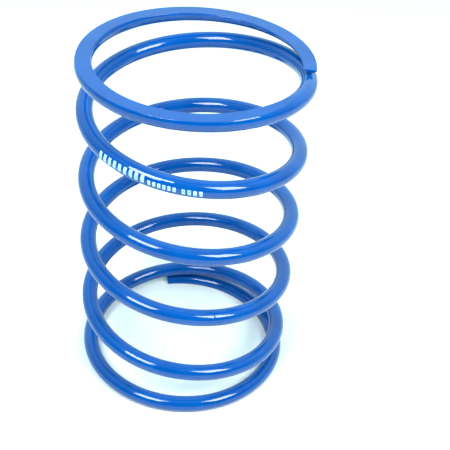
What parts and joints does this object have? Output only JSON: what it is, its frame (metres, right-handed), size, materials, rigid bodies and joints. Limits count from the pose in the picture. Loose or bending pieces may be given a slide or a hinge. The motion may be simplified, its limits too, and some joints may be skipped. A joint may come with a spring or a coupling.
{
  "type": "coil spring",
  "caption": "Cylindrical helical compression spring of blue painted round wire, left-hand wound, with closed and ground ends that seat on flat faces.",
  "frame": {"origin": "middle of the lower ground face, on the spring's axis", "axes": "+Z along the spring's axis, from the lower ground face to the upper one; +X points to the side where the upper wire tip lies"},
  "size_m": [0.0856, 0.0856, 0.137],
  "materials": {
    "blue_paint": "gloss",
    "white_print": "satin"
  },
  "bodies": {
    "bottom_end": {"bottom_end_coil": "blue_paint"},
    "open_coil_1_section_1": {"open_coil_1_section_1": "blue_paint"},
    "open_coil_1_section_2": {"open_coil_1_section_2": "blue_paint"},
    "open_coil_1_section_3": {"open_coil_1_section_3": "blue_paint"},
    "open_coil_1_section_4": {"open_coil_1_section_4": "blue_paint"},
    "open_coil_1_section_5": {"open_coil_1_section_5": "blue_paint"},
    "open_coil_1_section_6": {"open_coil_1_section_6": "blue_paint"},
    "open_coil_1_section_7": {"open_coil_1_section_7": "blue_paint"},
    "open_coil_1_section_8": {"open_coil_1_section_8": "blue_paint"},
    "open_coil_2_section_1": {"open_coil_2_section_1": "blue_paint"},
    "open_coil_2_section_2": {"open_coil_2_section_2": "blue_paint"},
    "open_coil_2_section_3": {"open_coil_2_section_3": "blue_paint"},
    "open_coil_2_section_4": {"open_coil_2_section_4": "blue_paint"},
    "open_coil_2_section_5": {"open_coil_2_section_5": "blue_paint"},
    "open_coil_2_section_6": {"open_coil_2_section_6": "blue_paint"},
    "open_coil_2_section_7": {"open_coil_2_section_7": "blue_paint"},
    "open_coil_2_section_8": {"open_coil_2_section_8": "blue_paint"},
    "open_coil_3_section_1": {"open_coil_3_section_1": "blue_paint"},
    "open_coil_3_section_2": {"open_coil_3_section_2": "blue_paint"},
    "open_coil_3_section_3": {"open_coil_3_section_3": "blue_paint"},
    "open_coil_3_section_4": {"open_coil_3_section_4": "blue_paint"},
    "open_coil_3_section_5": {"open_coil_3_section_5": "blue_paint"},
    "open_coil_3_section_6": {"open_coil_3_section_6": "blue_paint"},
    "open_coil_3_section_7": {"open_coil_3_section_7": "blue_paint"},
    "open_coil_3_section_8": {"open_coil_3_section_8": "blue_paint"},
    "open_coil_4_section_1": {"open_coil_4_section_1": "blue_paint"},
    "open_coil_4_section_2": {"open_coil_4_section_2": "blue_paint"},
    "open_coil_4_section_3": {"open_coil_4_section_3": "blue_paint"},
    "open_coil_4_section_4": {"open_coil_4_section_4": "blue_paint"},
    "open_coil_4_section_5": {"open_coil_4_section_5": "blue_paint"},
    "open_coil_4_section_6": {"open_coil_4_section_6": "blue_paint"},
    "open_coil_4_section_7": {"open_coil_4_section_7": "blue_paint"},
    "open_coil_4_section_8": {"open_coil_4_section_8": "blue_paint"},
    "top_end": {"top_end_coil": "blue_paint"}
  },
  "joints": [
    {"name": "compression", "type": "slide", "parent": "bottom_end", "child": "top_end", "axis": [0, 0, 1], "range_m": [-0.088, 0], "stiffness_N_per_m": 7000},
    {"name": "coil_1_section_1_slide", "type": "slide", "parent": "bottom_end", "child": "open_coil_1_section_1", "axis": [0, 0, 1], "range_m": [-0.00154, 0]},
    {"name": "coil_1_section_2_slide", "type": "slide", "parent": "bottom_end", "child": "open_coil_1_section_2", "axis": [0, 0, 1], "range_m": [-0.00415, 0]},
    {"name": "coil_1_section_3_slide", "type": "slide", "parent": "bottom_end", "child": "open_coil_1_section_3", "axis": [0, 0, 1], "range_m": [-0.0069, 0]},
    {"name": "coil_1_section_4_slide", "type": "slide", "parent": "bottom_end", "child": "open_coil_1_section_4", "axis": [0, 0, 1], "range_m": [-0.00965, 0]},
    {"name": "coil_1_section_5_slide", "type": "slide", "parent": "bottom_end", "child": "open_coil_1_section_5", "axis": [0, 0, 1], "range_m": [-0.0124, 0]},
    {"name": "coil_1_section_6_slide", "type": "slide", "parent": "bottom_end", "child": "open_coil_1_section_6", "axis": [0, 0, 1], "range_m": [-0.01515, 0]},
    {"name": "coil_1_section_7_slide", "type": "slide", "parent": "bottom_end", "child": "open_coil_1_section_7", "axis": [0, 0, 1], "range_m": [-0.0179, 0]},
    {"name": "coil_1_section_8_slide", "type": "slide", "parent": "bottom_end", "child": "open_coil_1_section_8", "axis": [0, 0, 1], "range_m": [-0.02065, 0]},
    {"name": "coil_2_section_1_slide", "type": "slide", "parent": "bottom_end", "child": "open_coil_2_section_1", "axis": [0, 0, 1], "range_m": [-0.0234, 0]},
    {"name": "coil_2_section_2_slide", "type": "slide", "parent": "bottom_end", "child": "open_coil_2_section_2", "axis": [0, 0, 1], "range_m": [-0.02615, 0]},
    {"name": "coil_2_section_3_slide", "type": "slide", "parent": "bottom_end", "child": "open_coil_2_section_3", "axis": [0, 0, 1], "range_m": [-0.0289, 0]},
    {"name": "coil_2_section_4_slide", "type": "slide", "parent": "bottom_end", "child": "open_coil_2_section_4", "axis": [0, 0, 1], "range_m": [-0.03165, 0]},
    {"name": "coil_2_section_5_slide", "type": "slide", "parent": "bottom_end", "child": "open_coil_2_section_5", "axis": [0, 0, 1], "range_m": [-0.0344, 0]},
    {"name": "coil_2_section_6_slide", "type": "slide", "parent": "bottom_end", "child": "open_coil_2_section_6", "axis": [0, 0, 1], "range_m": [-0.03715, 0]},
    {"name": "coil_2_section_7_slide", "type": "slide", "parent": "bottom_end", "child": "open_coil_2_section_7", "axis": [0, 0, 1], "range_m": [-0.0399, 0]},
    {"name": "coil_2_section_8_slide", "type": "slide", "parent": "bottom_end", "child": "open_coil_2_section_8", "axis": [0, 0, 1], "range_m": [-0.04265, 0]},
    {"name": "coil_3_section_1_slide", "type": "slide", "parent": "bottom_end", "child": "open_coil_3_section_1", "axis": [0, 0, 1], "range_m": [-0.0454, 0]},
    {"name": "coil_3_section_2_slide", "type": "slide", "parent": "bottom_end", "child": "open_coil_3_section_2", "axis": [0, 0, 1], "range_m": [-0.04815, 0]},
    {"name": "coil_3_section_3_slide", "type": "slide", "parent": "bottom_end", "child": "open_coil_3_section_3", "axis": [0, 0, 1], "range_m": [-0.0509, 0]},
    {"name": "coil_3_section_4_slide", "type": "slide", "parent": "bottom_end", "child": "open_coil_3_section_4", "axis": [0, 0, 1], "range_m": [-0.05365, 0]},
    {"name": "coil_3_section_5_slide", "type": "slide", "parent": "bottom_end", "child": "open_coil_3_section_5", "axis": [0, 0, 1], "range_m": [-0.0564, 0]},
    {"name": "coil_3_section_6_slide", "type": "slide", "parent": "bottom_end", "child": "open_coil_3_section_6", "axis": [0, 0, 1], "range_m": [-0.05915, 0]},
    {"name": "coil_3_section_7_slide", "type": "slide", "parent": "bottom_end", "child": "open_coil_3_section_7", "axis": [0, 0, 1], "range_m": [-0.0619, 0]},
    {"name": "coil_3_section_8_slide", "type": "slide", "parent": "bottom_end", "child": "open_coil_3_section_8", "axis": [0, 0, 1], "range_m": [-0.06465, 0]},
    {"name": "coil_4_section_1_slide", "type": "slide", "parent": "bottom_end", "child": "open_coil_4_section_1", "axis": [0, 0, 1], "range_m": [-0.0674, 0]},
    {"name": "coil_4_section_2_slide", "type": "slide", "parent": "bottom_end", "child": "open_coil_4_section_2", "axis": [0, 0, 1], "range_m": [-0.07015, 0]},
    {"name": "coil_4_section_3_slide", "type": "slide", "parent": "bottom_end", "child": "open_coil_4_section_3", "axis": [0, 0, 1], "range_m": [-0.0729, 0]},
    {"name": "coil_4_section_4_slide", "type": "slide", "parent": "bottom_end", "child": "open_coil_4_section_4", "axis": [0, 0, 1], "range_m": [-0.07565, 0]},
    {"name": "coil_4_section_5_slide", "type": "slide", "parent": "bottom_end", "child": "open_coil_4_section_5", "axis": [0, 0, 1], "range_m": [-0.0784, 0]},
    {"name": "coil_4_section_6_slide", "type": "slide", "parent": "bottom_end", "child": "open_coil_4_section_6", "axis": [0, 0, 1], "range_m": [-0.08115, 0]},
    {"name": "coil_4_section_7_slide", "type": "slide", "parent": "bottom_end", "child": "open_coil_4_section_7", "axis": [0, 0, 1], "range_m": [-0.0839, 0]},
    {"name": "coil_4_section_8_slide", "type": "slide", "parent": "bottom_end", "child": "open_coil_4_section_8", "axis": [0, 0, 1], "range_m": [-0.08651, 0]}
  ],
  "couplings": [
    {"joint": "coil_1_section_1_slide", "follows": "compression", "ratio": 0.0172},
    {"joint": "coil_1_section_2_slide", "follows": "compression", "ratio": 0.0469},
    {"joint": "coil_1_section_3_slide", "follows": "compression", "ratio": 0.0781},
    {"joint": "coil_1_section_4_slide", "follows": "compression", "ratio": 0.1094},
    {"joint": "coil_1_section_5_slide", "follows": "compression", "ratio": 0.1406},
    {"joint": "coil_1_section_6_slide", "follows": "compression", "ratio": 0.1719},
    {"joint": "coil_1_section_7_slide", "follows": "compression", "ratio": 0.2031},
    {"joint": "coil_1_section_8_slide", "follows": "compression", "ratio": 0.2344},
    {"joint": "coil_2_section_1_slide", "follows": "compression", "ratio": 0.2656},
    {"joint": "coil_2_section_2_slide", "follows": "compression", "ratio": 0.2969},
    {"joint": "coil_2_section_3_slide", "follows": "compression", "ratio": 0.3281},
    {"joint": "coil_2_section_4_slide", "follows": "compression", "ratio": 0.3594},
    {"joint": "coil_2_section_5_slide", "follows": "compression", "ratio": 0.3906},
    {"joint": "coil_2_section_6_slide", "follows": "compression", "ratio": 0.4219},
    {"joint": "coil_2_section_7_slide", "follows": "compression", "ratio": 0.4531},
    {"joint": "coil_2_section_8_slide", "follows": "compression", "ratio": 0.4844},
    {"joint": "coil_3_section_1_slide", "follows": "compression", "ratio": 0.5156},
    {"joint": "coil_3_section_2_slide", "follows": "compression", "ratio": 0.5469},
    {"joint": "coil_3_section_3_slide", "follows": "compression", "ratio": 0.5781},
    {"joint": "coil_3_section_4_slide", "follows": "compression", "ratio": 0.6094},
    {"joint": "coil_3_section_5_slide", "follows": "compression", "ratio": 0.6406},
    {"joint": "coil_3_section_6_slide", "follows": "compression", "ratio": 0.6719},
    {"joint": "coil_3_section_7_slide", "follows": "compression", "ratio": 0.7031},
    {"joint": "coil_3_section_8_slide", "follows": "compression", "ratio": 0.7344},
    {"joint": "coil_4_section_1_slide", "follows": "compression", "ratio": 0.7656},
    {"joint": "coil_4_section_2_slide", "follows": "compression", "ratio": 0.7969},
    {"joint": "coil_4_section_3_slide", "follows": "compression", "ratio": 0.8281},
    {"joint": "coil_4_section_4_slide", "follows": "compression", "ratio": 0.8594},
    {"joint": "coil_4_section_5_slide", "follows": "compression", "ratio": 0.8906},
    {"joint": "coil_4_section_6_slide", "follows": "compression", "ratio": 0.9219},
    {"joint": "coil_4_section_7_slide", "follows": "compression", "ratio": 0.9531},
    {"joint": "coil_4_section_8_slide", "follows": "compression", "ratio": 0.9828}
  ]
}
